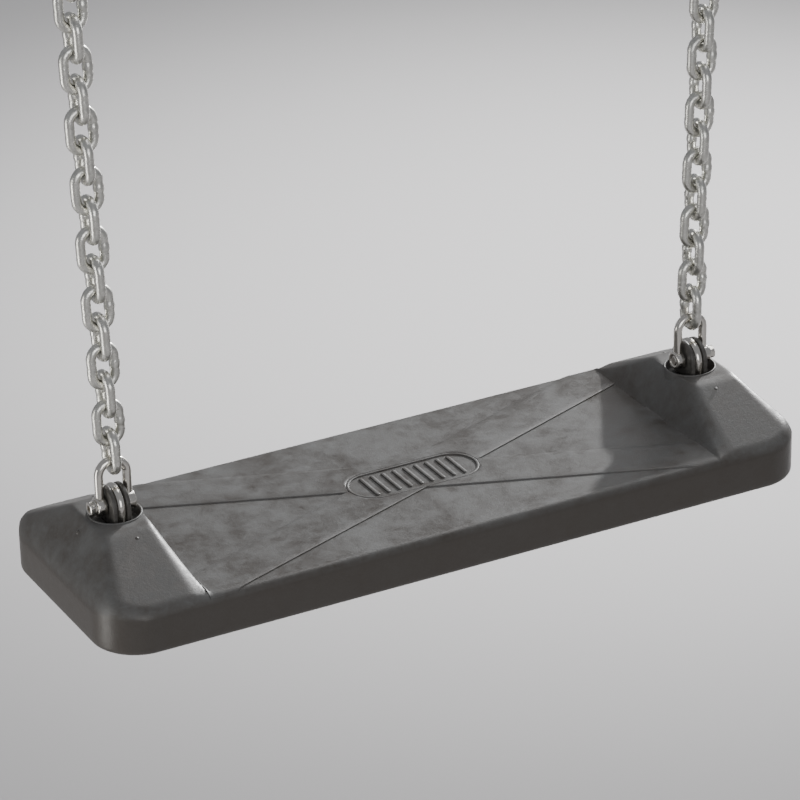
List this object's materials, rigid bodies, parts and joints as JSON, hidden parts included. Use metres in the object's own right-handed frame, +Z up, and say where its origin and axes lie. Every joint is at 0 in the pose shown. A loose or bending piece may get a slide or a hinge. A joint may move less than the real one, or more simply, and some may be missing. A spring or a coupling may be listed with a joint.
{
  "type": "swing seat",
  "caption": "Flat moulded-rubber playground swing seat hung on two short-link chains, with shackles at both ends and bolted beam brackets.",
  "frame": {"origin": "centre of the seat board's underside", "axes": "+X along the seat, from the left chain to the right one; +Y from the seat's front edge to its back; +Z up"},
  "size_m": [0.5004, 0.158, 0.4545],
  "materials": {
    "rubber": "satin",
    "zinc": "galvanised, satin",
    "stainless": "polished",
    "nylon": "matte",
    "alloy": "mill finish",
    "zinc_fastener": "satin"
  },
  "bodies": {
    "beam": {"left_beam_bracket": "zinc", "left_bracket_bush_halves": "nylon", "right_beam_bracket": "zinc", "right_bracket_bush_halves": "nylon"},
    "top_shackles": {"left_top_shackle_bow": "stainless", "left_top_shackle_pin": "stainless", "right_top_shackle_bow": "stainless", "right_top_shackle_pin": "stainless"},
    "links_17": {"left_chain_link_17": "zinc", "right_chain_link_17": "zinc"},
    "links_16": {"left_chain_link_16": "zinc", "right_chain_link_16": "zinc"},
    "links_15": {"left_chain_link_15": "zinc", "right_chain_link_15": "zinc"},
    "links_14": {"left_chain_link_14": "zinc", "right_chain_link_14": "zinc"},
    "links_13": {"left_chain_link_13": "zinc", "right_chain_link_13": "zinc"},
    "links_12": {"left_chain_link_12": "zinc", "right_chain_link_12": "zinc"},
    "links_11": {"left_chain_link_11": "zinc", "right_chain_link_11": "zinc"},
    "links_10": {"left_chain_link_10": "zinc", "right_chain_link_10": "zinc"},
    "links_09": {"left_chain_link_09": "zinc", "right_chain_link_09": "zinc"},
    "links_08": {"left_chain_link_08": "zinc", "right_chain_link_08": "zinc"},
    "links_07": {"left_chain_link_07": "zinc", "right_chain_link_07": "zinc"},
    "links_06": {"left_chain_link_06": "zinc", "right_chain_link_06": "zinc"},
    "links_05": {"left_chain_link_05": "zinc", "right_chain_link_05": "zinc"},
    "links_04": {"left_chain_link_04": "zinc", "right_chain_link_04": "zinc"},
    "links_03": {"left_chain_link_03": "zinc", "right_chain_link_03": "zinc"},
    "links_02": {"left_chain_link_02": "zinc", "right_chain_link_02": "zinc"},
    "links_01": {"left_chain_link_01": "zinc", "right_chain_link_01": "zinc"},
    "shackles": {"left_shackle_bow": "stainless", "left_shackle_pin": "stainless", "right_shackle_bow": "stainless", "right_shackle_pin": "stainless"},
    "seat": {"seat_body": "rubber", "insert_plate": "alloy", "left_eye": "stainless", "left_eye_washer": "zinc_fastener", "left_eye_nut": "zinc_fastener", "left_underside_plug": "nylon", "left_eye_bush_halves": "nylon", "right_eye": "stainless", "right_eye_washer": "zinc_fastener", "right_eye_nut": "zinc_fastener", "right_underside_plug": "nylon", "right_eye_bush_halves": "nylon"}
  },
  "joints": [
    {"name": "swing", "type": "hinge", "parent": "beam", "child": "top_shackles", "pos_m": [0, 0, 0.42653], "axis": [1, 0, 0], "range_deg": [-60, 60]},
    {"name": "link_17_bend", "type": "hinge", "parent": "top_shackles", "child": "links_17", "pos_m": [0, 0, 0.39828], "axis": [1, 0, 0], "range_deg": [-12, 12]},
    {"name": "link_16_bend", "type": "hinge", "parent": "links_17", "child": "links_16", "pos_m": [0, 0, 0.38674], "axis": [1, 0, 0], "range_deg": [-12, 12]},
    {"name": "link_15_bend", "type": "hinge", "parent": "links_16", "child": "links_15", "pos_m": [0, 0, 0.36105], "axis": [1, 0, 0], "range_deg": [-12, 12]},
    {"name": "link_14_bend", "type": "hinge", "parent": "links_15", "child": "links_14", "pos_m": [0, 0, 0.34976], "axis": [1, 0, 0], "range_deg": [-12, 12]},
    {"name": "link_13_bend", "type": "hinge", "parent": "links_14", "child": "links_13", "pos_m": [0, 0, 0.32407], "axis": [1, 0, 0], "range_deg": [-12, 12]},
    {"name": "link_12_bend", "type": "hinge", "parent": "links_13", "child": "links_12", "pos_m": [0, 0, 0.31278], "axis": [1, 0, 0], "range_deg": [-12, 12]},
    {"name": "link_11_bend", "type": "hinge", "parent": "links_12", "child": "links_11", "pos_m": [0, 0, 0.28709], "axis": [1, 0, 0], "range_deg": [-12, 12]},
    {"name": "link_10_bend", "type": "hinge", "parent": "links_11", "child": "links_10", "pos_m": [0, 0, 0.2758], "axis": [1, 0, 0], "range_deg": [-12, 12]},
    {"name": "link_09_bend", "type": "hinge", "parent": "links_10", "child": "links_09", "pos_m": [0, 0, 0.25011], "axis": [1, 0, 0], "range_deg": [-12, 12]},
    {"name": "link_08_bend", "type": "hinge", "parent": "links_09", "child": "links_08", "pos_m": [0, 0, 0.23882], "axis": [1, 0, 0], "range_deg": [-12, 12]},
    {"name": "link_07_bend", "type": "hinge", "parent": "links_08", "child": "links_07", "pos_m": [0, 0, 0.21313], "axis": [1, 0, 0], "range_deg": [-12, 12]},
    {"name": "link_06_bend", "type": "hinge", "parent": "links_07", "child": "links_06", "pos_m": [0, 0, 0.20184], "axis": [1, 0, 0], "range_deg": [-12, 12]},
    {"name": "link_05_bend", "type": "hinge", "parent": "links_06", "child": "links_05", "pos_m": [0, 0, 0.17615], "axis": [1, 0, 0], "range_deg": [-12, 12]},
    {"name": "link_04_bend", "type": "hinge", "parent": "links_05", "child": "links_04", "pos_m": [0, 0, 0.16486], "axis": [1, 0, 0], "range_deg": [-12, 12]},
    {"name": "link_03_bend", "type": "hinge", "parent": "links_04", "child": "links_03", "pos_m": [0, 0, 0.13917], "axis": [1, 0, 0], "range_deg": [-12, 12]},
    {"name": "link_02_bend", "type": "hinge", "parent": "links_03", "child": "links_02", "pos_m": [0, 0, 0.12788], "axis": [1, 0, 0], "range_deg": [-12, 12]},
    {"name": "link_01_bend", "type": "hinge", "parent": "links_02", "child": "links_01", "pos_m": [0, 0, 0.10219], "axis": [1, 0, 0], "range_deg": [-12, 12]},
    {"name": "shackle_bend", "type": "hinge", "parent": "links_01", "child": "shackles", "pos_m": [0, 0, 0.0909], "axis": [1, 0, 0], "range_deg": [-20, 20]},
    {"name": "seat_tilt", "type": "hinge", "parent": "shackles", "child": "seat", "pos_m": [0, 0, 0.0615], "axis": [1, 0, 0], "range_deg": [-40, 40]}
  ]
}
